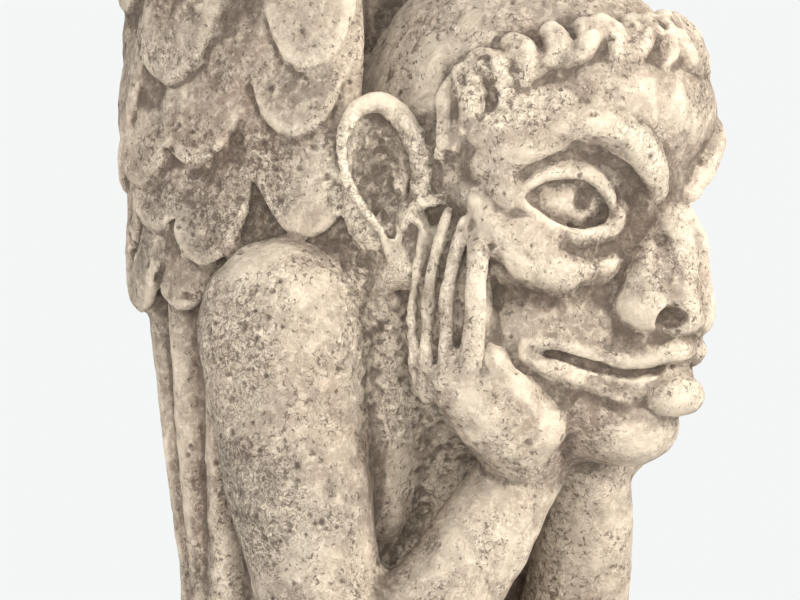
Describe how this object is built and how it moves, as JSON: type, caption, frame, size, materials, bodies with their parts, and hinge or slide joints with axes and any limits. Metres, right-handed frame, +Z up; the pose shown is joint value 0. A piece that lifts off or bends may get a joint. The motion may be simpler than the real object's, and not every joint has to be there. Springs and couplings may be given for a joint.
{
  "type": "garden statue",
  "caption": "Cast stone gargoyle that crouches on a low plinth with folded wings and rests its chin in its hands, for a garden or a ledge.",
  "frame": {"origin": "middle of the plinth's flat underside", "axes": "+Z up; the figure looks along -Y, its right side is at -X"},
  "size_m": [0.1691, 0.198, 0.4219],
  "materials": {
    "stone": "rough weathered cast stone, matte"
  },
  "bodies": {
    "root": {"gargoyle": "stone"}
  },
  "joints": []
}
